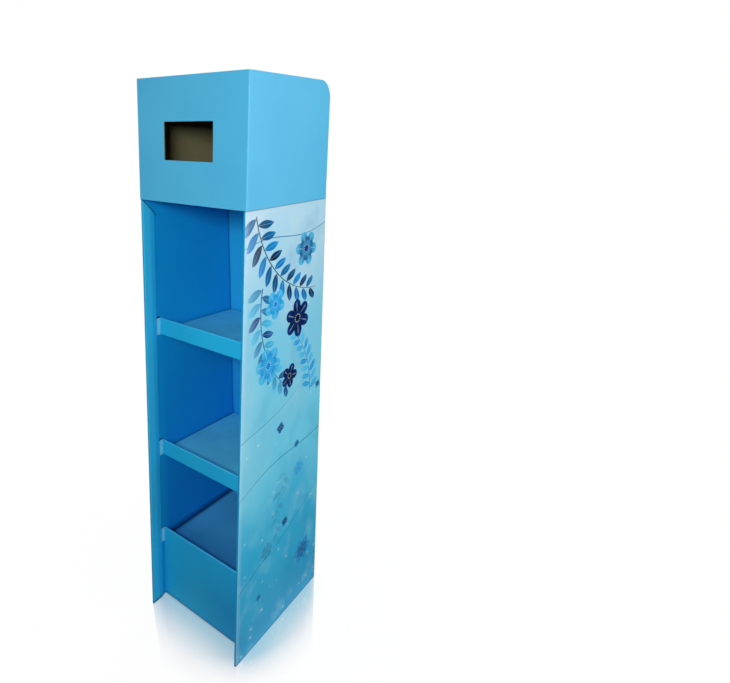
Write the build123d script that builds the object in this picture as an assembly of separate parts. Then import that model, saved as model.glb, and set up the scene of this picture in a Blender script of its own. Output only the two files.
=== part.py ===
from build123d import *
from math import cos, radians, sin, tan
import os

# Floor display stand of folded corrugated board. X runs to the right, Y from
# the front to the back and Z up, in millimetres. The origin lies on the floor,
# midway across the stand and midway between its front edge and its back.
# The front leans back, so the side panels are deepest at the floor.

# Board and its folds
board = 2.5          # thickness of every sheet
corner_bend = 0.75   # inside radius of a creased fold
lip_gap = 1.0        # air between the two layers of a shelf's lip
fit_gap = 0.3        # clearance beside a sheet that slips in
slot_gap = 0.5       # clearance round an ear or a tongue in its slot
overrun = 6.0        # how far a cutting block passes the sheet it cuts
round_share = 0.98   # share of its half gap to which a doubled fold is rounded

# Body
body_width = 340.0   # over the printed side panels
body_depth = 387.0   # at the floor
lean_angle = 3.25    # degrees by which the front leans back
bay_top = 1217.0     # top of the folded front edges and of the liner
neck_height = 233.0  # side panels and back above that, hidden by the header
return_width = 36.0  # front edges folded round onto the liner
return_mitre = 36.0  # drop of the sloping top end of that strip
closing_edge = 25.0  # down-turned front edge of the top flap

# Shelves, each a tray with a doubled lip
upper_lip = 899.0    # height of the lip's top above the floor
lower_lip = 535.0
base_lip = 241.0
lip_setback = 50.0   # from the stand's front to the lip's face
lip_height = 47.0
lip_rise = 33.0      # lip above its deck
hem_width = 25.0     # lip's lower edge turned back under the deck
foot_width = 50.0    # kick panel's lower edge turned back on the floor
flange_height = 25.0 # deck's sides turned down
flange_relief = 5.0  # from the hem or foot to the start of the side flanges
ear_length = 12.5    # ears on the lip's ends, bent forward
ear_notch = 5.0      # liner slot above the ear, for lifting it in
tongue_width = 60.0
tongue_spread = 90.0 # from the middle of the deck to a tongue's middle

# Header sleeve
header_height = 276.0
wing_setback = 7.0   # wing's lower rear corner short of the back
crown_radius = 39.0  # round upper rear corner of each wing
window_width = 154.0
window_height = 84.5
window_inset = 93.5  # from the sleeve's left edge
window_sill = 96.0   # above the sleeve's lower edge
roof_flange = 30.0   # turned-up edges of the tray above the top bay

# Places that follow from the sizes above
half_width = body_width / 2
rear = body_depth / 2
lean = radians(lean_angle)
wrap_top = bay_top + neck_height
header_top = bay_top + header_height
liner_face = half_width - 2 * board
liner_middle = liner_face + board / 2
tray_half = liner_face - fit_gap
lip_fold = lip_gap / 2 * round_share
edge_fold = board / 2 * round_share


def front(height):
    """Y of the leaning front at a height above the floor."""
    return height * tan(lean) - rear


def front_plane(setback):
    """Plane parallel to the leaning front, set back from it, facing the back."""
    return Plane((0, front(0) + setback, 0), x_dir=(1, 0, 0), z_dir=(0, cos(lean), -sin(lean)))


def sheet_edge(route, bends, shift):
    """One long edge of a folded sheet, at a shift to the left of its middle."""
    runs = [(end - start).normalized() for start, end in zip(route, route[1:])]
    lefts = [Vector(-run.Y, run.X) for run in runs]
    points = [route[0] + lefts[0] * shift]
    radii = []
    for corner, before, after, bend in zip(route[1:], lefts, lefts[1:], bends):
        points.append(corner + (before + after) * (shift / (1 + before.dot(after))))
        inward = shift if before.cross(after).Z > 0 else -shift
        radii.append(bend + abs(shift) - inward)
    points.append(route[-1] + lefts[-1] * shift)
    return FilletPolyline(*points, radius=radii)


def sheet(route, bends):
    """Cut end of a board whose middle follows the route, with inside radii at its bends."""
    left = sheet_edge(route, bends, board / 2)
    right = sheet_edge(route, bends, -board / 2)
    return make_face([left, right, Line(left @ 0, right @ 0), Line(left @ 1, right @ 1)])


def across(section, half):
    """Side section run across the stand, half to each side of its middle."""
    return extrude(Plane.YZ.offset(-half) * section, amount=2 * half, dir=(1, 0, 0))


def upright(section, height):
    """Plan section run straight up from where it lies."""
    return extrude(section, amount=height, dir=(0, 0, 1))


def leaning(section, height):
    """Plan section run up along the leaning front."""
    return extrude(section, amount=height / cos(lean), dir=(0, sin(lean), cos(lean)))


def wall(middle, back):
    """Plan section of two side walls and a back, creased at the rear corners."""
    start = front(0)
    route = [Vector(-middle, start), Vector(-middle, back), Vector(middle, back), Vector(middle, start)]
    return sheet(route, [corner_bend, corner_bend])


# Frame of a shelf, square to the leaning front


def lip_frame(lip_top):
    """Place of a lip: on its face at its top, with Y into the shelf and Z along the front."""
    return Pos(0, front(lip_top) + lip_setback, lip_top) * Rot(-lean_angle, 0, 0)


def leaned(lip_top, depth, rise):
    """Point of a side section, depth behind a lip's face and rise above its top."""
    y = front(lip_top) + lip_setback + depth * cos(lean) + rise * sin(lean)
    z = lip_top - depth * sin(lean) + rise * cos(lean)
    return Vector(y, z)


def deck_depth(lip_top):
    """Depth at which a deck's upper rear edge meets the liner's back."""
    reach = rear - 2 * board - fit_gap - front(lip_top) - lip_setback
    return (reach + lip_rise * sin(lean)) / cos(lean)


def wall_reach():
    """Thickness of the two back walls along a deck."""
    return 2 * board / cos(lean)


def tongue_slots(lip_top):
    """Blocks that cut the slots for a shelf's rear tongues."""
    length = wall_reach() + 2 * overrun
    block = Box(tongue_width + 2 * slot_gap, length, board + 2 * slot_gap,
                align=(Align.CENTER, Align.MIN, Align.CENTER))
    depth = deck_depth(lip_top) - overrun
    return [lip_frame(lip_top) * Pos(x, depth, -lip_rise - board / 2) * block
            for x in (-tongue_spread, tongue_spread)]


def ear_slots(lip_top):
    """Blocks that cut the liner's slots for a shelf's ears."""
    depth = ear_length + board + 2 * slot_gap
    height = lip_height + slot_gap + ear_notch
    block = Box(board + 2 * overrun, depth, height, align=(Align.CENTER, Align.MIN, Align.MAX))
    return [lip_frame(lip_top) * Pos(x, -ear_length - slot_gap, ear_notch) * block
            for x in (-liner_middle, liner_middle)]


# Outer printed sheet


def folded_front():
    """Right front edge, doubled round onto the liner, with its sloping top end."""
    side = half_width - board / 2
    strip = liner_face - board / 2
    turn = front(0) + board / 2
    end = front(0) + return_width
    route = [Vector(side, end), Vector(side, turn), Vector(strip, turn), Vector(strip, end)]
    edge = leaning(sheet(route, [edge_fold, edge_fold]), bay_top)
    start = front(bay_top) + board + edge_fold
    corner = front(bay_top) + return_width
    mitre = Polyline((start, bay_top), (corner, bay_top - return_mitre),
                     (corner + overrun, bay_top - return_mitre), (corner + overrun, bay_top), close=True)
    section = Plane.YZ.offset(liner_face) * make_face(mitre)
    return edge - extrude(section, amount=board + overrun, dir=(-1, 0, 0))


def top_flap():
    """Flap folded forward from the back, with its front edge turned down."""
    level = wrap_top - board / 2
    back = rear - board / 2
    setback = board + fit_gap + board / 2 / cos(lean)
    low = wrap_top - closing_edge
    route = [Vector(back, low), Vector(back, level), Vector(front(level) + setback, level),
             Vector(front(low) + setback, low)]
    return across(sheet(route, [corner_bend, corner_bend]), half_width - board - corner_bend)


def outer_wrap():
    """Two side panels, the back, the folded front edges and the top flap."""
    walls = upright(wall(half_width - board / 2, rear - board / 2), wrap_top)
    walls = split(walls, bisect_by=front_plane(board + corner_bend), keep=Keep.TOP)
    crease = board + corner_bend
    opening = Box(2 * (half_width - crease), 2 * crease, crease, align=(Align.CENTER, Align.CENTER, Align.MAX))
    walls -= Pos(0, rear, wrap_top) * opening
    edge = folded_front()
    wrap = walls + edge + mirror(edge, about=Plane.YZ) + top_flap()
    for lip_top in (upper_lip, lower_lip, base_lip):
        wrap -= tongue_slots(lip_top)
    return wrap


# Plain inner sheet


def liner():
    """Inner side walls and back, slotted for the ears and tongues of the shelves."""
    sheet_walls = upright(wall(liner_middle, rear - board * 3 / 2), bay_top)
    walls = split(sheet_walls, bisect_by=front_plane(board + edge_fold + fit_gap), keep=Keep.TOP)
    for lip_top in (upper_lip, lower_lip, base_lip):
        walls -= ear_slots(lip_top) + tongue_slots(lip_top)
    return walls


# Shelf trays


def lip_route(lip_top, deck_end):
    """Middle of a tray's board from its deck up the lip and over its fold."""
    inner = board * 3 / 2 + lip_gap
    deck = -lip_rise - board / 2
    return [leaned(lip_top, deck_end, deck), leaned(lip_top, inner, deck),
            leaned(lip_top, inner, -board / 2), leaned(lip_top, board / 2, -board / 2)]


def flanged_deck(lip_top, start, drop):
    """Deck with its sides turned down, from its start to the liner's back."""
    side = tray_half - board / 2
    level = -lip_rise - board / 2
    low = -lip_rise - drop
    route = [Vector(-side, low), Vector(-side, level), Vector(side, level), Vector(side, low)]
    section = Plane.XZ * sheet(route, [corner_bend, corner_bend])
    deck = extrude(section, amount=deck_depth(lip_top) - start, dir=(0, 1, 0))
    return lip_frame(lip_top) * Pos(0, start, 0) * deck


def tongues(lip_top):
    """Two tongues on a deck's rear edge, through the liner and the outer sheet."""
    block = Box(tongue_width, wall_reach() + board, board, align=(Align.CENTER, Align.MIN, Align.MAX))
    return [lip_frame(lip_top) * Pos(x, deck_depth(lip_top) - board, -lip_rise) * block
            for x in (-tongue_spread, tongue_spread)]


def ears(lip_top):
    """Ears on the ends of a lip, bent forward into the liner's slots."""
    route = [Vector(tray_half, board / 2), Vector(liner_middle, board / 2), Vector(liner_middle, -ear_length)]
    ear = extrude(sheet(route, [0]), amount=lip_height, dir=(0, 0, -1))
    return [lip_frame(lip_top) * side for side in (ear, mirror(ear, about=Plane.YZ))]


def tray(lip_top, tail, start, drop):
    """One sheet: the lip with its tail, the flanged deck, the ears and the tongues."""
    route = lip_route(lip_top, start) + tail
    lip = across(sheet(route, [corner_bend, lip_fold, lip_fold, corner_bend]), tray_half)
    return lip + flanged_deck(lip_top, start, drop) + tongues(lip_top) + ears(lip_top)


def shelf(lip_top):
    """Shelf whose lip ends in a hem under the deck."""
    low = -lip_height + board / 2
    tail = [leaned(lip_top, board / 2, low), leaned(lip_top, hem_width, low)]
    return tray(lip_top, tail, hem_width + flange_relief, flange_height)


def base_tray():
    """Lowest shelf: its lip runs on as the kick panel and its sides stand on the floor."""
    level = board / 2
    kick = front(level) + lip_setback + board / 2 / cos(lean)
    tail = [Vector(kick, level), Vector(kick + foot_width, level)]
    base = tray(base_lip, tail, foot_width + flange_relief, base_lip)
    return split(base, bisect_by=Plane.XY, keep=Keep.TOP)


# Header


def bay_roof():
    """Tray with turned-up edges that closes the top bay, seated on the liner's top."""
    side = half_width - board - fit_gap - board / 2
    level = bay_top + board / 2
    top = bay_top + roof_flange
    crease = board / 2 + corner_bend
    setback = board + fit_gap + board / 2 / cos(lean)
    near = front(level) + setback
    far = rear - board - fit_gap - board / 2
    bends = [corner_bend, corner_bend]
    width = sheet([Vector(-side, top), Vector(-side, level), Vector(side, level), Vector(side, top)], bends)
    length = sheet([Vector(front(top) + setback, top), Vector(near, level), Vector(far, level),
                    Vector(far, top)], bends)
    sides = extrude(Plane.XZ.offset(-near - 2 * crease) * width, amount=far - near - 3 * crease, dir=(0, 1, 0))
    return sides + across(length, side - crease)


def wing_outline():
    """Side view of the sleeve: its rear edge, and the round upper corner."""
    before = front(bay_top) - overrun
    corners = FilletPolyline((before, bay_top), (before, header_top), (rear, header_top),
                             (rear - wing_setback, bay_top), radius=[0, crown_radius])
    return make_face([corners, Line(corners @ 1, corners @ 0)])


def header():
    """Sleeve round the stand's top: the front with its window, and two wings."""
    side = half_width + board / 2
    near = front(bay_top) + board / 2
    route = [Vector(-side, rear), Vector(-side, near), Vector(side, near), Vector(side, rear)]
    sleeve = Pos(0, 0, bay_top) * leaning(sheet(route, [corner_bend, corner_bend]), header_height)
    sleeve &= across(wing_outline(), side + overrun)
    depth = header_height * tan(lean) + board + 2 * overrun
    window = Box(window_width, depth, window_height, align=(Align.MIN, Align.MIN, Align.MIN))
    left = window_inset - half_width - board
    return sleeve - Pos(left, front(bay_top) - overrun, bay_top + window_sill) * window


os.makedirs("parts", exist_ok=True)
nodes = {
    "outer_wrap": outer_wrap(),
    "liner": liner(),
    "base_tray": base_tray(),
    "lower_shelf": shelf(lower_lip),
    "upper_shelf": shelf(upper_lip),
    "bay_roof": bay_roof(),
    "header": header(),
}
for name, solid in nodes.items():
    export_step(solid, "parts/" + name + ".step")
    print(name, len(solid.solids()), round(solid.volume))
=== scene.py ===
"""Dress the folded cardboard display stand and set it on a pale studio floor."""
import logging
import math
from abc import ABC, abstractmethod
from dataclasses import dataclass
from enum import Enum
from typing import Any

import bpy
from mathutils import Color, Matrix, Vector


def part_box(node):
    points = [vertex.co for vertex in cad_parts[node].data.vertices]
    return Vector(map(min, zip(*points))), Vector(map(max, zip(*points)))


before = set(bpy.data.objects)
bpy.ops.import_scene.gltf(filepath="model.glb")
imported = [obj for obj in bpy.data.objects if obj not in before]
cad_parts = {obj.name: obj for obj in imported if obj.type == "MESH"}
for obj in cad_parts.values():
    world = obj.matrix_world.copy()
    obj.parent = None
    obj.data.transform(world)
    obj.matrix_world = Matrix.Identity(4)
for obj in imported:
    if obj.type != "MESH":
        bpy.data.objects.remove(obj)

LOG = logging.getLogger("display_stand")
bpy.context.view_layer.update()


# Shader maths

# Sockets of a colour Mix node, by number, because several of them share a name
MIX_SHARE, MIX_UNDER, MIX_OVER, MIX_RESULT = 0, 6, 7, 2

SCREEN_FULL = 255.0
Socket = bpy.types.NodeSocket


class Value:
    """A number that a material works out at every point, held as one socket."""

    def __init__(self, graph: "Graph", socket: Socket) -> None:
        """Keep the socket and the graph that it belongs to."""
        self.graph = graph
        self.socket = socket

    def _with(self, operation: str, *others: "Value | float") -> "Value":
        """Return the result of a Math node on this value and others."""
        return self.graph.math(operation, self, *others)

    def __add__(self, other: "Value | float") -> "Value":
        """Return the sum."""
        return self._with("ADD", other)

    __radd__ = __add__

    def __sub__(self, other: "Value | float") -> "Value":
        """Return the difference."""
        return self._with("SUBTRACT", other)

    def __rsub__(self, other: float) -> "Value":
        """Return a number minus this value."""
        return self.graph.math("SUBTRACT", other, self)

    def __mul__(self, other: "Value | float") -> "Value":
        """Return the product."""
        return self._with("MULTIPLY", other)

    __rmul__ = __mul__

    def __truediv__(self, other: "Value | float") -> "Value":
        """Return the quotient."""
        return self._with("DIVIDE", other)

    def __rtruediv__(self, other: float) -> "Value":
        """Return a number divided by this value."""
        return self.graph.math("DIVIDE", other, self)

    def __abs__(self) -> "Value":
        """Return the size without its sign."""
        return self._with("ABSOLUTE")

    def __lt__(self, other: "Value | float") -> "Value":
        """Return 1 where this value is smaller, and 0 elsewhere."""
        return self._with("LESS_THAN", other)

    def __gt__(self, other: "Value | float") -> "Value":
        """Return 1 where this value is larger, and 0 elsewhere."""
        return self._with("GREATER_THAN", other)

    def __or__(self, other: "Value | float") -> "Value":
        """Return the larger of two masks."""
        return self._with("MAXIMUM", other)

    def __and__(self, other: "Value") -> "Value":
        """Return the smaller of two masks."""
        return self._with("MINIMUM", other)

    def sine(self) -> "Value":
        """Return the sine of an angle in radians."""
        return self._with("SINE")

    def cosine(self) -> "Value":
        """Return the cosine of an angle in radians."""
        return self._with("COSINE")

    def root(self) -> "Value":
        """Return the square root."""
        return self._with("SQRT")

    def floor(self) -> "Value":
        """Return the whole part."""
        return self._with("FLOOR")

    def angle(self, across: "Value") -> "Value":
        """Return the angle of the point with this height and that width."""
        return self._with("ARCTAN2", across)

    def soft(self, width: float) -> "Value":
        """Return a mask that rises from 0 to 1 as this value goes from 0 to a width."""
        node = self.graph.node("ShaderNodeClamp", inputs={"Value": self * (1.0 / width)})
        return Value(self.graph, node.outputs["Result"])

    def blend(self, under: "Colour", over: "Colour") -> Socket:
        """Return one colour laid over another where this mask is 1."""
        inputs = {MIX_SHARE: self, MIX_UNDER: under, MIX_OVER: over}
        return self.graph.node("ShaderNodeMix", {"data_type": "RGBA"}, inputs).outputs[MIX_RESULT]


@dataclass(frozen=True)
class Ink:
    """A printed colour, as screen values from 0 to 255."""

    red: float
    green: float
    blue: float

    def linear(self) -> tuple[float, float, float, float]:
        """Return the colour as the renderer's linear values, fully opaque."""
        shown = Color((self.red / SCREEN_FULL, self.green / SCREEN_FULL, self.blue / SCREEN_FULL))
        return (*shown.from_srgb_to_scene_linear(), 1.0)

    def times(self, red: float, green: float, blue: float) -> "Ink":
        """Return the ink with each of its values multiplied."""
        return Ink(self.red * red, self.green * green, self.blue * blue)


Colour = Ink | Socket


class Graph:
    """The node tree of one material, or of the world."""

    def __init__(self, holder: bpy.types.Material | bpy.types.World) -> None:
        """Empty the holder's node tree and keep it.

        Args:
            holder: The material or the world.
        """
        holder.use_nodes = True
        self.tree = holder.node_tree
        self.tree.nodes.clear()

    def node(self, kind: str, settings: dict[str, Any] | None = None,
             inputs: dict[Any, Any] | None = None) -> bpy.types.Node:
        """Add a node.

        Args:
            kind: The node's type.
            settings: Its properties, or a ramp's stops in rising order from 0, which are set first.
            inputs: Values or links of its sockets, by name or number.

        Returns:
            The node.
        """
        made = self.tree.nodes.new(kind)
        for key, value in (settings or {}).items():
            if key == "stops":
                elements = made.color_ramp.elements
                elements.remove(elements[-1])
                for index, (place, ink) in enumerate(value):
                    element = elements.new(place) if index else elements[0]
                    element.color = ink.linear()
            else:
                setattr(made, key, value)
        for key, value in (inputs or {}).items():
            self.feed(made.inputs[key], value)
        return made

    def feed(self, socket: Socket, value: Any) -> None:
        """Link or set a socket.

        Args:
            socket: The input.
            value: A value or a socket to link, or an ink or a number to set.
        """
        if isinstance(value, Value):
            self.tree.links.new(value.socket, socket)
        elif isinstance(value, Socket):
            self.tree.links.new(value, socket)
        elif isinstance(value, Ink):
            socket.default_value = value.linear()
        else:
            socket.default_value = value

    def math(self, operation: str, *terms: Value | float) -> Value:
        """Return the result of one Math node."""
        made = self.node("ShaderNodeMath", {"operation": operation}, dict(enumerate(terms)))
        return Value(self, made.outputs[0])

    def combine(self, x: Value, y: Value, z: Value | float) -> Socket:
        """Return a vector of three values."""
        return self.node("ShaderNodeCombineXYZ", inputs={0: x, 1: y, 2: z}).outputs[0]

    def noise(self, vector: Socket, scale: float, detail: float) -> Value:
        """Return soft noise from 0 to 1 at a scale per unit of the vector."""
        inputs = {"Vector": vector, "Scale": scale, "Detail": detail}
        return Value(self, self.node("ShaderNodeTexNoise", inputs=inputs).outputs[0])


@dataclass(frozen=True)
class Tint:
    """An ink that is laid over a colour at part of its strength."""

    ink: Ink
    strength: float

    def lay(self, under: Colour, mask: Value) -> Socket:
        """Return a colour with the ink laid over it where the mask is 1."""
        return (mask * self.strength).blend(under, self.ink)


@dataclass(frozen=True)
class EdgeTint(Tint):
    """A tint beside an edge, which fades away towards its reach in metres."""

    reach: float
    fade: float

    def near(self, distance: Value) -> Value:
        """Return a mask that rises from 0 at the reach towards 1 at the edge."""
        return (self.reach - distance).soft(self.fade)

    def cover(self, distance: Value) -> Value:
        """Return the same mask at the tint's strength."""
        return self.near(distance) * self.strength

    def edge(self, under: Colour, distance: Value, part: Value) -> Socket:
        """Return a colour with the ink laid along an edge, on one part of the sheet."""
        return self.lay(under, self.near(distance) & part)


@dataclass(frozen=True)
class Patches:
    """Soft patches that a noise makes where it is above a level."""

    scale: float
    detail: float
    level: float
    fade: float
    strength: float = 1.0

    def mask(self, graph: Graph, vector: Socket) -> Value:
        """Return the patches' mask, from 0 to their strength."""
        above = graph.noise(vector, self.scale, self.detail) - self.level
        return above.soft(self.fade) * self.strength


@dataclass(frozen=True)
class Ripple:
    """A noise that adds up to a set amount to a height, a roughness or a place."""

    scale: float
    detail: float
    amount: float

    def at(self, graph: Graph, vector: Socket) -> Value:
        """Return the ripple at each point, from 0 to its amount."""
        return graph.noise(vector, self.scale, self.detail) * self.amount


# The stand's own sizes, read from the frame

# Boards from the outside within which a face belongs to the outermost layer of the folded body
OUTERMOST = 1.5

# How much of a face's normal lies along an axis, where the face leans to it, turns to it or is square to it
LEANING, TURNED, SQUARE = 0.3, 0.5, 0.7


@dataclass(frozen=True)
class Stand:
    """Sizes of the stand in metres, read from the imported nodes."""

    half_width: float
    front: float
    rear: float
    bay_top: float
    slope: float
    board: float
    lips: tuple[float, float, float]

    @classmethod
    def read(cls) -> "Stand":
        """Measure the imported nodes.

        Returns:
            The stand's sizes.
        """
        wrap_low, wrap_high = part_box("outer_wrap")
        header_low, header_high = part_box("header")
        slope = (header_low[1] - wrap_low[1]) / header_low[2]
        board = header_high[0] - wrap_high[0]
        lips = tuple(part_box(name)[1][2] for name in ("base_tray", "lower_shelf", "upper_shelf"))
        return cls(wrap_high[0], wrap_low[1], wrap_high[1], header_low[2], slope, board, lips)

    def liner_face(self) -> float:
        """Return the inner sheet's face, from the middle of the stand."""
        return self.half_width - 2 * self.board


class Place:
    """Coordinates of the shaded point, in the stand's own terms."""

    def __init__(self, graph: Graph, stand: Stand) -> None:
        """Add the coordinate nodes to a material.

        Args:
            graph: The material's nodes.
            stand: The stand's sizes.
        """
        coordinates = graph.node("ShaderNodeTexCoord")
        geometry = graph.node("ShaderNodeNewGeometry")
        point = graph.node("ShaderNodeSeparateXYZ", inputs={0: coordinates.outputs["Object"]})
        normal = graph.node("ShaderNodeSeparateXYZ", inputs={0: geometry.outputs["True Normal"]})
        self.graph = graph
        self.vector = coordinates.outputs["Object"]
        self.x, self.y, self.z = (Value(graph, socket) for socket in point.outputs)
        self.facing_x, self.facing_y, self.facing_z = (Value(graph, socket) for socket in normal.outputs)
        self.aside = abs(self.x)
        self.setback = self.y - self.z * stand.slope - stand.front
        self.outward = self.facing_x * ((self.x > 0.0) * 2.0 - 1.0)


# Inks

NAVY = Ink(0, 56, 130)
NIGHT = Ink(0, 12, 50)
ROYAL = Ink(6, 146, 222)
AQUA = Ink(84, 204, 244)
PALE = Ink(216, 238, 248)
DUSK = Ink(24, 106, 152)
DEW = Ink(190, 244, 252)
KRAFT = Ink(140, 132, 98)
# Painted shade: the dark in the holes between the flutes of a cut edge, and inside the stand
HOLLOW_SHADE = Ink(50, 40, 28)


# Side print


@dataclass(frozen=True)
class Sprig:
    """A curved stem with slanted leaves on both sides, on the side panel.

    Its stem is an arc from a start to an end in degrees, and its lengths are in metres. The leaves
    taper along the stem, and their root and lean are in shares of the space from leaf to leaf.
    """

    across: float
    height: float
    radius: float
    start: float
    end: float
    leaves: int
    leaf_length: float
    leaf_share: float
    dark: Ink
    light: Ink
    strength: float = 1.0
    longest: float = 1.15
    taper: float = 0.55
    root: float = 0.34
    lean: float = 0.62
    leaf_edge: float = 0.0009
    vein: float = 0.0007
    vein_edge: float = 0.0004
    vein_cover: float = 0.3
    stem: float = 0.0019
    stem_taper: float = 0.0011
    stem_edge: float = 0.0006
    tone_turn: float = 2.4
    tone_side: float = 1.3
    tone_swing: float = 0.38
    tone_rise: float = 0.4
    tone_base: float = 0.3

    def span(self) -> float:
        """Return the angle that the stem passes through, in radians."""
        return math.radians(self.end - self.start)

    def course(self, place: Place) -> tuple[Value, Value]:
        """Follow the stem.

        Args:
            place: The shaded point.

        Returns:
            The distance from the stem, below 0 on its inner side, and the share of the stem passed.
        """
        middle = math.radians((self.start + self.end) / 2)
        right = place.setback - self.across
        up = place.z - self.height
        ahead = right * math.cos(middle) + up * math.sin(middle)
        beside = up * math.cos(middle) - right * math.sin(middle)
        off = (ahead * ahead + beside * beside).root() - self.radius
        return off, beside.angle(ahead) * (1.0 / self.span()) + 0.5

    def lay(self, ground: Colour, place: Place) -> Socket:
        """Lay the sprig over a ground colour.

        Args:
            ground: The colour under the sprig.
            place: The shaded point.

        Returns:
            The colour with the sprig on it.
        """
        off, along = self.course(place)
        inside = (along > 0.0) & (along < 1.0)
        inner = off < 0.0
        step = along * self.leaves + inner * 0.5
        cell = step.floor()
        shift = step - cell - 0.5
        spacing = abs(self.radius * self.span()) / self.leaves
        rise = abs(off) / ((self.longest - along * self.taper) * self.leaf_length)
        aside = (shift + self.root - rise * self.lean) * spacing
        width = rise * (1.0 - rise) * (2.0 * self.leaf_share * spacing)
        whole = (cell > inner - 0.5) & (cell < self.leaves - 0.5)
        leaf = (width - abs(aside)).soft(self.leaf_edge) & inside & whole
        vein = (self.vein - abs(aside)).soft(self.vein_edge) & leaf
        stem = (self.stem - along * self.stem_taper - abs(off)).soft(self.stem_edge) & inside
        swing = (cell * self.tone_turn + inner * self.tone_side).sine() * self.tone_swing
        tone = (swing + rise * self.tone_rise + self.tone_base).soft(1.0)
        laid = (leaf * self.strength).blend(ground, tone.blend(self.dark, self.light))
        laid = (vein * (self.vein_cover * self.strength)).blend(laid, PALE)
        return (stem * self.strength).blend(laid, self.dark)


@dataclass(frozen=True)
class Blossom:
    """A flat flower of broad round petals, on the side panel.

    Its place and its radius are in metres, and the sizes below its strength in shares of the radius.
    A tone is how fast the petals' ink changes outward, and how late it starts.
    """

    across: float
    height: float
    radius: float
    petals: int
    turn: float
    heart: Ink
    rim: Ink
    strength: float = 1.0
    edge: float = 0.03
    notch: float = 0.44
    petal_tone: tuple[float, float] = (1.2, 0.3)
    inner_notch: float = 0.26
    inner_lobe: float = 0.4
    inner_tone: tuple[float, float] = (1.8, 0.1)
    inner_cover: float = 0.85
    eye: float = 0.26
    vein: float = 0.985
    vein_edge: float = 0.012
    vein_start: float = 0.3
    vein_end: float = 0.86
    vein_fade: float = 0.1
    vein_cover: float = 0.3
    dots: float = 4.0
    dot_gap: float = 0.2
    dot_edge: float = 0.3
    ring: float = 0.2
    ring_width: float = 0.035
    ring_edge: float = 0.02

    def lay(self, ground: Colour, place: Place) -> Socket:
        """Lay the blossom over a ground colour.

        Args:
            ground: The colour under the blossom.
            place: The shaded point.

        Returns:
            The colour with the blossom on it.
        """
        right = place.setback - self.across
        up = place.z - self.height
        reach = (right * right + up * up).root() * (1.0 / self.radius)
        turned = up.angle(right) * (self.petals / 2) + self.turn
        lobe, between = abs(turned.cosine()), abs(turned.sine())
        petal = (lobe.root() * (1.0 - self.notch) + self.notch - reach).soft(self.edge)
        inner = (between.root() * self.inner_lobe + self.inner_notch - reach).soft(self.edge)
        held = (reach - self.vein_start).soft(self.vein_fade) & (self.vein_end - reach).soft(self.vein_fade)
        vein = (lobe - self.vein).soft(self.vein_edge) & held
        row = ((turned * self.dots).cosine() - self.dot_gap).soft(self.dot_edge)
        dots = row & (self.ring_width - abs(reach - self.ring)).soft(self.ring_edge)
        tones = (self.petal_tone, self.inner_tone)
        outward, inward = ((reach * fast - late).soft(1.0) for fast, late in tones)
        laid = (petal * self.strength).blend(ground, outward.blend(self.heart, self.rim))
        laid = (vein * (self.vein_cover * self.strength)).blend(laid, PALE)
        laid = (inner * (self.inner_cover * self.strength)).blend(laid, inward.blend(self.rim, self.heart))
        laid = ((self.eye - reach).soft(self.edge) * self.strength).blend(laid, self.heart)
        return (dots * self.strength).blend(laid, PALE)


@dataclass(frozen=True)
class Strand:
    """A thin wavy line that crosses the side panel, and fades and returns on its way."""

    height: float
    rise: float
    wave: float
    count: float
    turn: float
    ink: Ink
    half_width: float = 0.0016
    edge: float = 0.0007
    cover: float = 0.8
    fade_pace: float = 0.45
    fade_swing: float = 0.4

    def lay(self, ground: Colour, place: Place) -> Socket:
        """Lay the line over a ground colour.

        Args:
            ground: The colour under the line.
            place: The shaded point.

        Returns:
            The colour with the line on it.
        """
        across = place.setback
        path = (across * self.count + self.turn).sine() * self.wave + across * self.rise + self.height
        line = (self.half_width - abs(place.z - path)).soft(self.edge)
        swing = (across * (self.count * self.fade_pace) + self.turn).sine() * self.fade_swing
        fade = (swing + (1.0 - self.fade_swing)).soft(1.0)
        return (line * fade * self.cover).blend(ground, self.ink)


@dataclass(frozen=True)
class Drops:
    """Small pale drops with a soft halo, scattered on the side panel and more of them near the floor.

    Each has a cell of its own: columns and rows are cells per metre, and sizes are shares of a cell.
    """

    ink: Ink = DEW
    columns: float = 26.0
    rows: float = 17.0
    margin: float = 0.2
    smallest: float = 0.02
    growth: float = 0.07
    breadth: float = 0.5
    stature: float = 1.3
    scarce: float = 0.46
    thinning: float = 0.42
    edge: float = 0.04
    cover: float = 0.6
    halo: float = 3.0
    halo_edge: float = 0.35
    halo_cover: float = 0.18

    def lay(self, ground: Colour, place: Place) -> Socket:
        """Lay the drops over a ground colour.

        Args:
            ground: The colour under the drops.
            place: The shaded point.

        Returns:
            The colour with the drops on it.
        """
        graph = place.graph
        columns, rows = place.setback * self.columns, place.z * self.rows
        cell = graph.combine(columns.floor(), rows.floor(), 0.0)
        chance = graph.node("ShaderNodeTexWhiteNoise", {"noise_dimensions": "3D"}, {"Vector": cell})
        drawn = graph.node("ShaderNodeSeparateColor", inputs={0: chance.outputs["Color"]})
        to_right, to_up, to_size = (Value(graph, socket) for socket in drawn.outputs)
        spread = 1.0 - 2 * self.margin
        right = columns - columns.floor() - to_right * spread - self.margin
        up = rows - rows.floor() - to_up * spread - self.margin
        size = to_size * self.growth + self.smallest
        reach = (right * right * self.breadth + up * up * self.stature).root()
        falls = Value(graph, chance.outputs["Value"]) > (place.z * self.thinning + self.scarce)
        drop = (size - reach).soft(self.edge) * falls
        halo = (size * self.halo - reach).soft(self.halo_edge) * falls
        laid = (halo * self.halo_cover).blend(ground, self.ink)
        return (drop * self.cover).blend(laid, self.ink)


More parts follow.
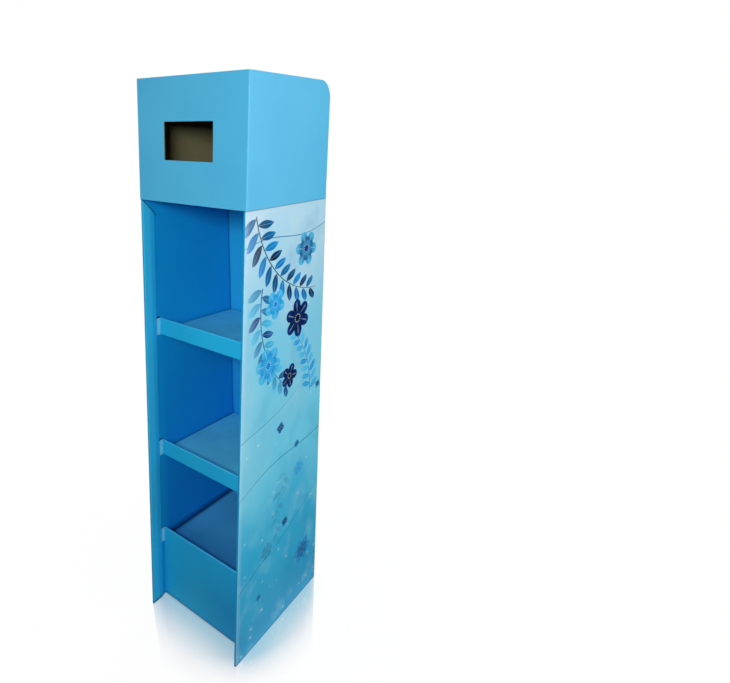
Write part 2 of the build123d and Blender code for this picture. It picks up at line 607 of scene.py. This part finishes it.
@dataclass(frozen=True)
class SidePrint:
    """The picture on both outer side panels, from its sky to its flowers.

    The sky's stops run up the panel. The clouds are longer than high and slanted: their level and
    upright runs say how the depth and the height of a point feed each axis of their noise.
    """

    sky: tuple[tuple[float, Ink], ...] = (
        (0.0, Ink(42, 166, 216)), (0.22, Ink(58, 186, 230)), (0.45, Ink(114, 214, 242)),
        (0.72, Ink(130, 208, 236)), (1.0, Ink(190, 222, 240)))
    climb: float = 0.8217
    level_run: tuple[float, float] = (3.0, 1.6)
    upright_run: tuple[float, float] = (2.2, 2.6)
    drift: Ripple = Ripple(1.5, 4.0, 0.5)
    puffs: Patches = Patches(4.2, 5.0, 0.52, 0.3, 0.38)
    puff_base: float = 0.9
    puff_thinning: float = 0.55
    shadows: Patches = Patches(2.6, 3.0, 0.55, 0.25, 0.3)
    shadow_ink: Ink = Ink(20, 140, 184)
    drops: Drops = Drops()
    strands: tuple[Strand, ...] = (
        Strand(1.128, 0.10, 0.012, 17.0, 0.6, DUSK),
        Strand(0.655, 0.34, 0.014, 15.0, 2.2, DUSK),
        Strand(0.505, 0.20, 0.016, 13.0, 0.2, DUSK),
        Strand(0.215, 0.42, 0.010, 16.0, 1.1, DUSK))
    sprigs: tuple[Sprig, ...] = (
        Sprig(0.300, 1.262, 0.270, 193.0, 268.0, 11, 0.052, 0.72, NIGHT, ROYAL),
        Sprig(0.352, 0.985, 0.290, 170.0, 238.0, 11, 0.046, 0.72, NAVY, AQUA),
        Sprig(0.020, 0.690, 0.270, 2.0, 52.0, 9, 0.036, 0.7, ROYAL, AQUA),
        Sprig(0.420, 0.360, 0.260, 150.0, 200.0, 9, 0.034, 0.7, DUSK, AQUA, 0.35))
    blossoms: tuple[Blossom, ...] = (
        Blossom(0.238, 1.100, 0.046, 6, 0.3, NAVY, AQUA),
        Blossom(0.118, 0.985, 0.038, 5, 0.8, ROYAL, AQUA),
        Blossom(0.214, 0.925, 0.052, 6, 1.1, NIGHT, NAVY),
        Blossom(0.098, 0.835, 0.050, 6, 0.5, ROYAL, AQUA),
        Blossom(0.190, 0.775, 0.034, 5, 0.2, NIGHT, NAVY),
        Blossom(0.255, 0.470, 0.030, 5, 0.4, ROYAL, AQUA, 0.5),
        Blossom(0.120, 0.285, 0.036, 6, 0.9, DUSK, AQUA, 0.4),
        Blossom(0.300, 0.165, 0.042, 6, 0.1, NAVY, ROYAL, 0.5),
        Blossom(0.160, 0.640, 0.016, 4, 0.4, NIGHT, ROYAL),
        Blossom(0.330, 0.700, 0.012, 4, 0.9, NIGHT, ROYAL, 0.8),
        Blossom(0.240, 0.555, 0.012, 4, 0.1, NAVY, ROYAL, 0.8),
        Blossom(0.200, 0.330, 0.015, 4, 0.7, NIGHT, ROYAL, 0.9),
        Blossom(0.090, 0.155, 0.011, 4, 0.2, NAVY, ROYAL, 0.7))

    def clouds(self, place: Place) -> Socket:
        """Paint the sky with its soft slanted clouds.

        Args:
            place: The shaded point.

        Returns:
            The sky's colour.
        """
        graph = place.graph
        level = place.y * self.level_run[0] + place.z * self.level_run[1]
        upright = place.z * self.upright_run[1] - place.y * self.upright_run[0]
        slanted = graph.combine(level, place.x, upright)
        passed = place.z * self.climb + self.drift.at(graph, slanted) - self.drift.amount / 2
        thinned = (self.puff_base - place.z * self.puff_thinning).soft(1.0)
        sky = graph.node("ShaderNodeValToRGB", {"stops": self.sky}, {0: passed}).outputs[0]
        sky = (self.puffs.mask(graph, slanted) * thinned).blend(sky, DEW)
        return self.shadows.mask(graph, slanted).blend(sky, self.shadow_ink)

    def colour(self, place: Place) -> Socket:
        """Paint the whole picture, each motif over those before it.

        Args:
            place: The shaded point.

        Returns:
            The picture's colour.
        """
        painted = self.clouds(place)
        for motif in (*self.strands, self.drops, *self.sprigs, *self.blossoms):
            painted = motif.lay(painted, place)
        return painted


# Board finishes


@dataclass(frozen=True)
class Board(ABC):
    """What every sheet shares: varnish, paper grain, flutes and raw cut edges.

    Lengths are in metres, and the papers seen on a cut edge are in thicknesses of one paper. The
    slack, in boards, tells a face from the next one that it meets.
    """

    stand: Stand
    name: str
    ink: Ink
    rough: float = 0.42
    rub: Ripple = Ripple(22.0, 4.0, 0.14)
    gloss: float = 0.12
    mottle: Patches = Patches(9.0, 4.0, 0.35, 0.5, 0.5)
    mottle_share: tuple[float, float, float] = (0.86, 0.94, 0.97)
    kraft: Ink = KRAFT
    fibre: Ink = Ink(172, 152, 116)
    fibres: Patches = Patches(14.0, 5.0, 0.3, 0.5, 0.7)
    fibre_run: tuple[float, float, float] = (40.0, 40.0, 9.0)
    pitch: float = 0.0064
    paper: float = 0.00032
    waved_paper: float = 1.3
    face_paper: float = 1.6
    paper_edge: float = 0.6
    rib: float = 0.000016
    grain: Ripple = Ripple(900.0, 3.0, 0.000018)
    sag: Ripple = Ripple(5.0, 1.0, 0.0011)
    slack: float = 0.02
    strip: float = 0.043
    # Painted shade: a thin shadow line along the strips' slanted top ends, and shade along every sheet's
    # foot
    mitre: EdgeTint = EdgeTint(NIGHT, 0.8, 0.0024, 0.001)
    foot_shade: EdgeTint = EdgeTint(NAVY, 0.45, 0.015, 0.013)
    foot_line: EdgeTint = EdgeTint(NAVY, 0.85, 0.0045, 0.0015)

    def flutes(self, along: Value, across: Value) -> Socket:
        """Paint a cut edge with its waved middle paper, and painted shade in the holes between.

        Args:
            along: Distance along the edge.
            across: Distance through the board, from one face to the other.

        Returns:
            The edge's colour.
        """
        half = self.stand.board / 2
        edge = self.paper * self.paper_edge
        wave = (along * (math.tau / self.pitch)).sine() * (half - 2 * self.paper) + half
        waved = (self.paper * self.waved_paper - abs(across - wave)).soft(edge)
        faces = (abs(across - half) - (half - self.paper * self.face_paper)).soft(edge)
        return (waved | faces).blend(HOLLOW_SHADE, KRAFT)

    def printed(self, place: Place) -> Socket:
        """Return the colour of the printed side."""
        mottled = self.mottle.mask(place.graph, place.vector)
        return mottled.blend(self.ink, self.ink.times(*self.mottle_share))

    def raw(self, place: Place) -> Socket:
        """Return the colour of the raw brown side, with its fibres."""
        run = place.graph.node("ShaderNodeVectorMath", {"operation": "MULTIPLY"},
                               {0: place.vector, 1: self.fibre_run})
        return self.fibres.mask(place.graph, run.outputs[0]).blend(self.kraft, self.fibre)

    def lay_mitre(self, under: Colour, place: Place) -> Socket:
        """Lay the thin shadow line along a strip's slanted top end.

        Args:
            under: The colour under the line.
            place: The shaded point.

        Returns:
            The colour with the line on it.
        """
        below = self.stand.bay_top - place.z
        inner = place.aside < self.stand.half_width - 0.5 * self.stand.board
        return self.mitre.edge(under, abs(below - place.setback), (place.setback < self.strip) & inner)

    def lay_foot(self, under: Colour, place: Place) -> Socket:
        """Lay painted shade along a sheet's lower edge, just above the floor, with a darker thin line of it
        at the floor.
        """
        shade = self.foot_shade.cover(place.z) | self.foot_line.cover(place.z)
        return shade.blend(under, NAVY)

    @abstractmethod
    def colour(self, place: Place) -> Socket:
        """Return the colour of the whole sheet."""

    def relief(self, place: Place) -> Value:
        """Shape the sheet's skin: faint ribs over the flutes, paper grain and a slight sag.

        Args:
            place: The shaded point.

        Returns:
            The skin's height in metres.
        """
        level_or_front = abs(place.facing_y) | abs(place.facing_z)
        sideways = place.x * level_or_front + place.y * abs(place.facing_x)
        ribs = (sideways * (math.tau / self.pitch)).sine() * self.rib
        return ribs + self.grain.at(place.graph, place.vector) + self.sag.at(place.graph, place.vector)

    def make(self) -> bpy.types.Material:
        """Build the material.

        Returns:
            The finished material.
        """
        material = bpy.data.materials.new(self.name)
        graph = Graph(material)
        place = Place(graph, self.stand)
        relief = self.relief(place)
        bump = graph.node("ShaderNodeBump", inputs={"Strength": 1.0, "Distance": 1.0, "Height": relief})
        rubbed = self.rub.at(graph, place.vector) + (self.rough - self.rub.amount / 2)
        shader = graph.node("ShaderNodeBsdfPrincipled", inputs={
            "Base Color": self.colour(place), "Roughness": rubbed, "Normal": bump.outputs[0],
            "Specular IOR Level": self.gloss})
        graph.node("ShaderNodeOutputMaterial", inputs={"Surface": shader.outputs[0]})
        return material


@dataclass(frozen=True)
class WrapBoard(Board):
    """The outer sheet: picture outside, plain blue on the folded strips, raw inside, with painted light and
    shade.
    """

    name: str = "printed outer sheet"
    ink: Ink = Ink(42, 188, 244)
    rough: float = 0.36
    picture: SidePrint = SidePrint()
    # The raw side's olive tint is painted light: the colour of the dim light inside the stand
    kraft: Ink = Ink(130, 130, 97)
    fibre: Ink = Ink(160, 149, 114)
    turn_fade: float = 0.2
    # Painted light: a paler band along the folded strips' front. Painted shade: the fold's bend, darkened
    lit_band: EdgeTint = EdgeTint(Ink(62, 210, 255), 0.8, 0.027, 0.008)
    painted_fold_tint: Tint = Tint(DUSK, 0.5)
    painted_fold_width: float = 0.004
    # Painted light on the side panels: paler along the front edge, and paler towards the front higher up
    lit: EdgeTint = EdgeTint(PALE, 0.22, 0.016, 0.012)
    painted_front_light: EdgeTint = EdgeTint(PALE, 0.16, 0.08, 0.08)
    painted_front_light_start: float = 0.45
    painted_front_light_fade: float = 0.2
    # Painted shade along the side panels' foot and just under the header, and a dark line along their rear
    # edge
    side_foot_shade: EdgeTint = EdgeTint(NAVY, 0.8, 0.0034, 0.001)
    dark_rear_line: EdgeTint = EdgeTint(NAVY, 0.8, 0.0036, 0.001)
    under_header_shade: EdgeTint = EdgeTint(DUSK, 0.5, 0.0032, 0.0012)
    # Painted shade on the raw inside: near its front, and where it is hidden behind the inner sheet
    corner_shade: EdgeTint = EdgeTint(HOLLOW_SHADE, 0.48, 0.19, 0.1)
    hidden: Tint = Tint(NIGHT, 0.85)

    def plain_parts(self, place: Place) -> Socket:
        """Paint the back panel and the folded strips, with their painted light and shade.

        Args:
            place: The shaded point.

        Returns:
            The colour of the parts without motifs.
        """
        back = (place.facing_y - LEANING).soft(self.turn_fade)
        colour = back.blend(self.printed(place), self.picture.clouds(place))
        colour = self.lit_band.edge(colour, place.setback, place.outward < -TURNED)
        colour = self.lay_foot(colour, place)
        painted_fold_tint = (abs(place.outward) < SQUARE) & (place.setback < self.painted_fold_width)
        return self.lay_mitre(self.painted_fold_tint.lay(colour, painted_fold_tint), place)

    def side_panel(self, under: Colour, place: Place, side: Value) -> Socket:
        """Paint a side panel: its picture, with painted light towards the front edge, painted shade along
        the foot and under the header, and a dark line along the rear edge.

        Args:
            under: The colour of the other parts.
            place: The shaded point.
            side: The mask of the side panels.

        Returns:
            The colour with the side panels on it.
        """
        colour = side.blend(under, self.picture.colour(place))
        colour = self.lit.edge(colour, place.setback, side)
        upper = (place.z - self.painted_front_light_start).soft(self.painted_front_light_fade)
        colour = self.painted_front_light.edge(colour, place.setback, upper & side)
        # Painted shade along the foot, and a dark line along the rear edge
        worn = self.side_foot_shade.near(place.z) | self.dark_rear_line.near(self.stand.rear - place.y)
        colour = self.side_foot_shade.lay(colour, worn & side)
        return self.under_header_shade.edge(colour, self.stand.bay_top - place.z, side)

    def raw_parts(self, under: Colour, place: Place, inside: Value) -> Socket:
        """Paint the sheet's raw inner side, with painted shade near its front and where it is hidden behind
        the inner sheet.

        Args:
            under: The colour of the printed parts.
            place: The shaded point.
            inside: The mask of the side panels' inner faces.

        Returns:
            The colour with the raw side on it.
        """
        deep_set = place.y > self.stand.rear - OUTERMOST * self.stand.board
        behind = (place.facing_y < -TURNED) & deep_set
        beneath = (place.facing_z < -TURNED) & (place.z > self.stand.bay_top)
        colour = (inside | behind | beneath).blend(under, self.raw(place))
        colour = self.corner_shade.edge(colour, place.setback, inside)
        return self.hidden.lay(colour, (inside | behind) & (place.z < self.stand.bay_top))

    def colour(self, place: Place) -> Socket:
        """Paint the whole outer sheet.

        Args:
            place: The shaded point.

        Returns:
            The sheet's colour.
        """
        half, board = self.stand.half_width, self.stand.board
        outer = place.aside > half - OUTERMOST * board
        side = (place.outward - SQUARE).soft(self.turn_fade) & outer
        inside = (place.outward < -TURNED) & outer
        colour = self.side_panel(self.plain_parts(place), place, side)
        colour = self.raw_parts(colour, place, inside)
        cut = (abs(place.facing_z) > SQUARE) & (place.aside > half - (1.0 + self.slack) * board)
        return cut.blend(colour, self.flutes(place.y, place.aside - (half - board)))


@dataclass(frozen=True)
class LinerBoard(Board):
    """The inner sheet: deep blue, with painted shade low down, in its corners and where the decks meet it,
    and painted light on its back wall.

    Each deck has a line of painted shade of its own, from the lowest up. A lip rises above its deck,
    which starts behind it.
    """

    name: str = "liner board"
    ink: Ink = Ink(20, 162, 230)
    rough: float = 0.46
    # Painted light on the back wall; painted shade in the back corners, low down and along the decks
    back_wall_light: Tint = Tint(Ink(58, 204, 250), 0.5)
    corner_shade: EdgeTint = EdgeTint(NAVY, 0.6, 0.005, 0.004)
    deep: EdgeTint = EdgeTint(Ink(6, 100, 226), 0.36, 0.9, 0.55)
    deep_fade: float = 0.02
    lip_rise: float = 0.033
    deck_start: float = 0.05
    contact_shade_start: float = 0.06
    contact_shade_depth: float = 0.004
    contact_shades: tuple[EdgeTint, ...] = (
        EdgeTint(Ink(0, 24, 90), 0.75, 0.022, 0.022),
        EdgeTint(Ink(0, 24, 90), 0.3, 0.009, 0.009),
        EdgeTint(Ink(0, 24, 90), 0.3, 0.009, 0.009))

    def lay_contact_shades(self, under: Colour, place: Place) -> Socket:
        """Lay painted shade on the wall along the decks, which are square to the leaning front.

        Args:
            under: The colour under the seams.
            place: The shaded point.

        Returns:
            The colour with the seams on it.
        """
        colour = under
        for lip_top, contact_shade in zip(self.stand.lips, self.contact_shades):
            deck = lip_top - self.lip_rise
            rise = place.z - deck + (place.setback - self.deck_start) * self.stand.slope
            on_wall = (rise > -self.contact_shade_depth) & (place.setback > self.contact_shade_start)
            colour = contact_shade.edge(colour, rise, on_wall)
        return colour

    def colour(self, place: Place) -> Socket:
        """Paint the whole inner sheet.

        Args:
            place: The shaded point.

        Returns:
            The sheet's colour.
        """
        rear, board = self.stand.rear, self.stand.board
        rear_face = (place.facing_y < -TURNED) & (place.y > rear - 3 * board)
        colour = self.back_wall_light.lay(self.printed(place), rear_face)
        behind = self.corner_shade.near((rear - 2 * board) - place.y)
        colour = self.corner_shade.edge(colour, self.stand.liner_face() - place.aside, behind)
        # Painted shade, darker low down
        deep = self.deep.near(place.z) * (place.setback - self.deck_start).soft(self.deep_fade)
        return self.lay_mitre(self.lay_contact_shades(self.deep.lay(colour, deep), place), place)


@dataclass(frozen=True)
class HeaderBoard(Board):
    """The sleeve: plain blue outside with painted highlights along its fold and towards its front, raw
    inside and at the window's cut edges.
    """

    name: str = "header board"
    ink: Ink = Ink(84, 187, 230)
    rough: float = 0.4
    slack: float = 0.05
    # Painted highlights: along the fold, and paler towards the front
    painted_fold_tint: EdgeTint = EdgeTint(PALE, 0.03, 0.0125, 0.0075)
    painted_front_light: EdgeTint = EdgeTint(PALE, 0.05, 0.36, 0.2)
    flute_run: float = 0.02

    def cut_edges(self, under: Colour, place: Place) -> Socket:
        """Paint the sheet's cut edges, across the flutes and along them.

        Args:
            under: The colour of the sheet's faces.
            place: The shaded point.

        Returns:
            The colour with the cut edges on it.
        """
        half, board = self.stand.half_width, self.stand.board
        front = place.setback < board * (1.0 + self.slack)
        wings = 1.0 - front
        through = place.setback * front + (place.aside - half) * wings
        along = place.x * front + place.y * wings
        colour = (abs(place.facing_z) > SQUARE).blend(under, self.flutes(along, through))
        upright = (abs(place.facing_x) > SQUARE) & front & (place.aside < half - 2 * board)
        trailing = (place.facing_y > LEANING) & (place.aside > half + self.slack * board)
        return (upright | trailing).blend(colour, self.flutes(place.z * self.flute_run, through))

    def colour(self, place: Place) -> Socket:
        """Paint the whole sleeve.

        Args:
            place: The shaded point.

        Returns:
            The sheet's colour.
        """
        half, board = self.stand.half_width, self.stand.board
        colour = self.printed(place)
        for tint in (self.painted_fold_tint, self.painted_front_light):
            colour = tint.edge(colour, place.setback, place.outward > TURNED)
        inside = (place.outward < -TURNED) & (place.aside > half - 0.5 * board)
        behind = (place.facing_y > TURNED) & (place.aside < half + self.slack * board)
        return self.cut_edges((inside | behind).blend(colour, self.raw(place)), place)


@dataclass(frozen=True)
class TrayBoard(Board):
    """A shelf tray: a blue lip, a paler deck and the pale backs of its ears.

    The trays carry painted shade: darker down the stand and towards its right, behind the lips and where
    the decks meet the walls, with a painted highlight along the lips' crests. A start is where a shade
    begins, from the middle of the stand or from its front.
    """

    name: str = "tray board"
    ink: Ink = Ink(38, 190, 242)
    deck: Ink = Ink(100, 218, 250)
    deck_clouds: Patches = Patches(9.0, 2.0, 0.3, 0.5)
    deck_share: tuple[float, float, float] = (0.86, 0.9, 0.9)
    deck_start: float = 0.056
    deck_fade: float = 0.004
    turn_fade: float = 0.1
    # Painted shade that grows darker down the stand and towards its right
    low: EdgeTint = EdgeTint(Ink(0, 52, 146), 0.46, 0.30, 0.2)
    low_start: float = -0.17
    low_fade: float = 0.34
    middle: EdgeTint = EdgeTint(NAVY, 0.1, 0.62, 0.1)
    middle_start: float = -0.2
    middle_fade: float = 0.2
    base_top: float = 0.25
    # Painted shade: the base deck deeper, and a painted shadow behind the base tray's lip
    base: Tint = Tint(Ink(0, 110, 230), 0.28)
    lip_shadow: EdgeTint = EdgeTint(Ink(0, 76, 156), 0.5, 0.19, 0.1)
    # A painted highlight along the lips' crests
    crest_highlight: Tint = Tint(PALE, 0.05)
    crest_depth: float = 0.054
    crest_fade: float = 0.3
    # Painted shadow on the decks just behind the lips, fainter higher up
    rim: EdgeTint = EdgeTint(Ink(0, 70, 150), 0.62, 0.082, 0.03)
    rim_thinning: float = 0.35
    # Painted shade on the decks where they meet the walls: a thin line on every deck, wider on the base
    # deck
    line: EdgeTint = EdgeTint(NAVY, 0.5, 0.0035, 0.002)
    contact_shade: EdgeTint = EdgeTint(Ink(0, 26, 96), 0.85, 0.014, 0.012)
    ear: Ink = Ink(134, 222, 243)
    ear_slack: float = 0.0002

    def tray_top(self, place: Place, level: Value) -> Socket:
        """Paint the lip and the deck, with the painted shade that grows down the stand.

        Args:
            place: The shaded point.
            level: The mask of the decks.

        Returns:
            The colour of lip and deck.
        """
        clouds = self.deck_clouds.mask(place.graph, place.vector)
        cloudy = clouds.blend(self.deck, self.deck.times(*self.deck_share))
        colour = level.blend(self.printed(place), cloudy)
        low = self.low.near(place.z) * (place.x - self.low_start).soft(self.low_fade)
        middle = self.middle.near(place.z) * (place.x - self.middle_start).soft(self.middle_fade)
        return self.middle.lay(self.low.lay(colour, low), middle)

    def colour(self, place: Place) -> Socket:
        """Paint the whole tray.

        Args:
            place: The shaded point.

        Returns:
            The sheet's colour.
        """
        behind = (place.setback - self.deck_start).soft(self.deck_fade)
        level = (place.facing_z - SQUARE).soft(self.turn_fade) & behind
        base = (place.z < self.base_top) & level
        colour = self.base.lay(self.tray_top(place, level), base)
        colour = self.lip_shadow.edge(colour, place.setback, base)
        crest_highlight = (place.facing_z - LEANING).soft(self.crest_fade) & (place.setback < self.crest_depth)
        colour = self.crest_highlight.lay(colour, crest_highlight)
        rim = self.rim.near(place.setback) & level
        colour = (rim * (self.rim.strength - place.z * self.rim_thinning)).blend(colour, self.rim.ink)
        face = self.stand.liner_face()
        for tint, part in ((self.line, level), (self.contact_shade, base)):
            colour = tint.edge(colour, face - place.aside, part)
        ear = (place.aside > face - self.ear_slack) & (place.outward < -TURNED)
        return ear.blend(self.lay_foot(colour, place), self.ear)


@dataclass(frozen=True)
class RoofBoard(Board):
    """The tray over the top bay: blue below, raw above."""

    name: str = "roof board"
    ink: Ink = Ink(20, 162, 230)
    above_line: float = 0.2

    def colour(self, place: Place) -> Socket:
        """Return the print below and the raw board above."""
        above = place.z > self.stand.bay_top + self.above_line * self.stand.board
        return above.blend(self.printed(place), self.raw(place))


# Sub-assemblies


class Sheet(Enum):
    """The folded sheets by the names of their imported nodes."""

    WRAP = "outer_wrap"
    LINER = "liner"
    BASE = "base_tray"
    LOWER = "lower_shelf"
    UPPER = "upper_shelf"
    ROOF = "bay_roof"
    HEADER = "header"


@dataclass(frozen=True)
class FoldedSheets:
    """All sheets of the stand."""

    stand: Stand

    def dress(self) -> dict[Sheet, Board]:
        """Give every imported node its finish.

        Returns:
            The finish that each sheet wears. The three trays share one.
        """
        tray = TrayBoard(self.stand)
        worn = {
            Sheet.WRAP: WrapBoard(self.stand), Sheet.LINER: LinerBoard(self.stand),
            Sheet.BASE: tray, Sheet.LOWER: tray, Sheet.UPPER: tray,
            Sheet.ROOF: RoofBoard(self.stand), Sheet.HEADER: HeaderBoard(self.stand)}
        made = {finish: finish.make() for finish in dict.fromkeys(worn.values())}
        for sheet, finish in worn.items():
            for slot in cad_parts[sheet.value].material_slots:
                slot.material = made[finish]
        return worn


# Studio

WHITE = (1.0, 1.0, 1.0, 1.0)


@dataclass(frozen=True)
class Floor:
    """A wide pale floor that mirrors the stand's foot faintly.

    The camera sees it nearly white, and the stand is lit by it as by a grey one. The foot's front is
    nearer the middle than its rear, by the toe. The mirror image fades out from the foot to its rim. Near
    the foot, the white that the camera sees is tinged blue: a painted reflection of the stand.
    """

    stand: Stand
    name: str = "studio_floor"
    width: float = 60.0
    toe: float = 0.05
    mirror: float = 0.57
    mirror_fade: float = 0.085
    mirror_tail: float = 0.08
    mirror_rim: float = 0.32
    rim_fade: float = 0.09
    polish: float = 0.07
    paper: float = 0.93
    paper_reach: float = 0.9
    seen_ink: Ink = Ink(252, 252, 252)
    lit_ink: Ink = Ink(96, 96, 96)
    far_ink: Ink = Ink(255, 255, 255)
    painted_reflection_ink: Ink = Ink(222, 252, 255)

    def beyond(self, x: Value, y: Value) -> Value:
        """Measure how far a point of the floor lies outside the stand's foot.

        Args:
            x: The point's place across.
            y: The point's place in depth.

        Returns:
            The distance in metres, 0 under the stand.
        """
        middle = self.toe / 2
        beside = (abs(x) - self.stand.half_width) | 0.0
        before = (abs(y - middle) - (self.stand.rear - middle)) | 0.0
        return (beside * beside + before * before).root()

    def material(self) -> bpy.types.Material:
        """Build the floor's finish.

        Returns:
            The material.
        """
        material = bpy.data.materials.new("pale floor")
        graph = Graph(material)
        coordinates = graph.node("ShaderNodeTexCoord").outputs["Object"]
        point = graph.node("ShaderNodeSeparateXYZ", inputs={0: coordinates})
        x, y = (Value(graph, socket) for socket in point.outputs[:2])
        far = self.beyond(x, y)
        shares = far * (1.0 / self.mirror_fade)
        falling = (1.0 / (shares * shares + 1.0) - self.mirror_tail).soft(1.0 - self.mirror_tail)
        near = falling * (self.mirror_rim - (x * x + y * y).root()).soft(self.rim_fade)
        seen = Value(graph, graph.node("ShaderNodeLightPath").outputs["Is Camera Ray"])
        matt = graph.node("ShaderNodeBsdfPrincipled", inputs={
            "Base Color": seen.blend(self.lit_ink, self.seen_ink), "Roughness": 1.0,
            "Specular IOR Level": 0.0})
        # Near the foot the glow is tinged blue: a painted reflection of the stand
        glow_with_painted_reflection = (near * near * near).blend(self.far_ink, self.painted_reflection_ink)
        white = graph.node("ShaderNodeEmission", inputs={"Color": glow_with_painted_reflection, "Strength": 1.0})
        clear = seen * (far.soft(self.paper_reach) * (1.0 - self.paper) + self.paper)
        pale = graph.node("ShaderNodeMixShader", inputs={0: clear, 1: matt.outputs[0], 2: white.outputs[0]})
        gloss = graph.node("ShaderNodeBsdfPrincipled", inputs={
            "Base Color": WHITE, "Metallic": 1.0, "Roughness": self.polish})
        mixed = graph.node("ShaderNodeMixShader", inputs={
            0: near * self.mirror, 1: pale.outputs[0], 2: gloss.outputs[0]})
        graph.node("ShaderNodeOutputMaterial", inputs={"Surface": mixed.outputs[0]})
        return material

    def build(self) -> None:
        """Lay the floor at the stand's foot."""
        half = self.width / 2
        corners = [(-half, -half, 0.0), (half, -half, 0.0), (half, half, 0.0), (-half, half, 0.0)]
        mesh = bpy.data.meshes.new(self.name)
        mesh.from_pydata(corners, [], [(0, 1, 2, 3)])
        mesh.materials.append(self.material())
        floor = bpy.data.objects.new(self.name, mesh)
        bpy.context.scene.collection.objects.link(floor)


@dataclass(frozen=True)
class Softbox:
    """A square lamp that faces the stand, with its sizes in metres and its power in watts."""

    name: str
    place: tuple[float, float, float]
    aim: tuple[float, float, float]
    size: float
    power: float
    mirrored: bool = False

    def build(self) -> None:
        """Hang the lamp."""
        data = bpy.data.lights.new(self.name, "AREA")
        data.shape = "SQUARE"
        data.size = self.size
        data.energy = self.power
        lamp = bpy.data.objects.new(self.name, data)
        lamp.location = self.place
        lamp.visible_glossy = self.mirrored
        lamp.rotation_euler = (Vector(self.aim) - Vector(self.place)).to_track_quat("-Z", "Y").to_euler()
        bpy.context.scene.collection.objects.link(lamp)


LAMPS = (
    Softbox("key", place=(0.92, -1.34, 1.58), aim=(0.0, -0.1, 0.95), size=0.3, power=15.5),
    Softbox("side", place=(2.3, 0.5, 1.9), aim=(0.0, 0.0, 0.9), size=1.4, power=30.0, mirrored=True),
    Softbox("left", place=(-3.2, -0.6, 2.2), aim=(0.0, 0.0, 0.8), size=2.0, power=42.0),
    Softbox("rear", place=(-0.9, 3.2, 2.2), aim=(0.0, 0.0, 0.8), size=2.0, power=56.0))


@dataclass(frozen=True)
class Room:
    """The white room, whose own light on the stand is dim."""

    name: str = "white room"
    light: float = 0.36

    def build(self) -> None:
        """Fill the room with even light, and show it white."""
        world = bpy.data.worlds.new(self.name)
        graph = Graph(world)
        rays = graph.node("ShaderNodeLightPath").outputs
        shown = Value(graph, rays["Is Camera Ray"]) | Value(graph, rays["Is Glossy Ray"])
        lit = graph.node("ShaderNodeBackground", inputs={"Color": WHITE, "Strength": self.light})
        white = graph.node("ShaderNodeBackground", inputs={"Color": WHITE, "Strength": 1.0})
        mixed = graph.node("ShaderNodeMixShader", inputs={0: shown, 1: lit.outputs[0], 2: white.outputs[0]})
        graph.node("ShaderNodeOutputWorld", inputs={"Surface": mixed.outputs[0]})
        bpy.context.scene.world = world
        bpy.context.scene.view_settings.view_transform = "Standard"


@dataclass(frozen=True)
class Viewpoint:
    """The camera, where the photograph was taken from.

    Its angles are in degrees, and its focal length and the centre of its view in pixels of the image.
    """

    name: str = "photograph"
    place: tuple[float, float, float] = (0.8901, -0.9661, 1.3736)
    yaw: float = -36.847
    pitch: float = -17.680
    roll: float = 0.282
    focal_pixels: float = 525.45
    image_width: float = 730.0
    image_height: float = 683.0
    centre_x: float = 279.26
    centre_y: float = 300.67
    sensor: float = 36.0
    farthest: float = 200.0

    def matrix(self) -> Matrix:
        """Work out the camera's place and turn.

        Returns:
            The camera's world matrix.
        """
        yaw, pitch, roll = (math.radians(angle) for angle in (self.yaw, self.pitch, self.roll))
        ahead = Vector((math.sin(yaw) * math.cos(pitch), math.cos(yaw) * math.cos(pitch), math.sin(pitch)))
        level = Vector((math.cos(yaw), -math.sin(yaw), 0.0))
        above = level.cross(ahead)
        right = level * math.cos(roll) + above * math.sin(roll)
        up = above * math.cos(roll) - level * math.sin(roll)
        turn = Matrix((right, up, -ahead)).transposed()
        return Matrix.Translation(self.place) @ turn.to_4x4()

    def build(self) -> None:
        """Set up the camera."""
        data = bpy.data.cameras.new(self.name)
        data.sensor_width = self.sensor
        data.lens = self.focal_pixels / self.image_width * self.sensor
        data.shift_x = (self.image_width / 2 - self.centre_x) / self.image_width
        data.shift_y = (self.centre_y - self.image_height / 2) / self.image_width
        data.clip_end = self.farthest
        camera = bpy.data.objects.new(self.name, data)
        camera.matrix_world = self.matrix()
        bpy.context.scene.collection.objects.link(camera)
        bpy.context.scene.camera = camera


def main() -> None:
    """Dress the stand, light it and point the camera."""
    logging.basicConfig(level=logging.INFO)
    stand = Stand.read()
    for sheet, finish in FoldedSheets(stand).dress().items():
        LOG.info("%s wears %s", sheet.value, finish.name)
    for piece in (Floor(stand), Room(), *LAMPS, Viewpoint()):
        piece.build()
        LOG.info("%s is in place", piece.name)


if __name__ == "__main__":
    main()
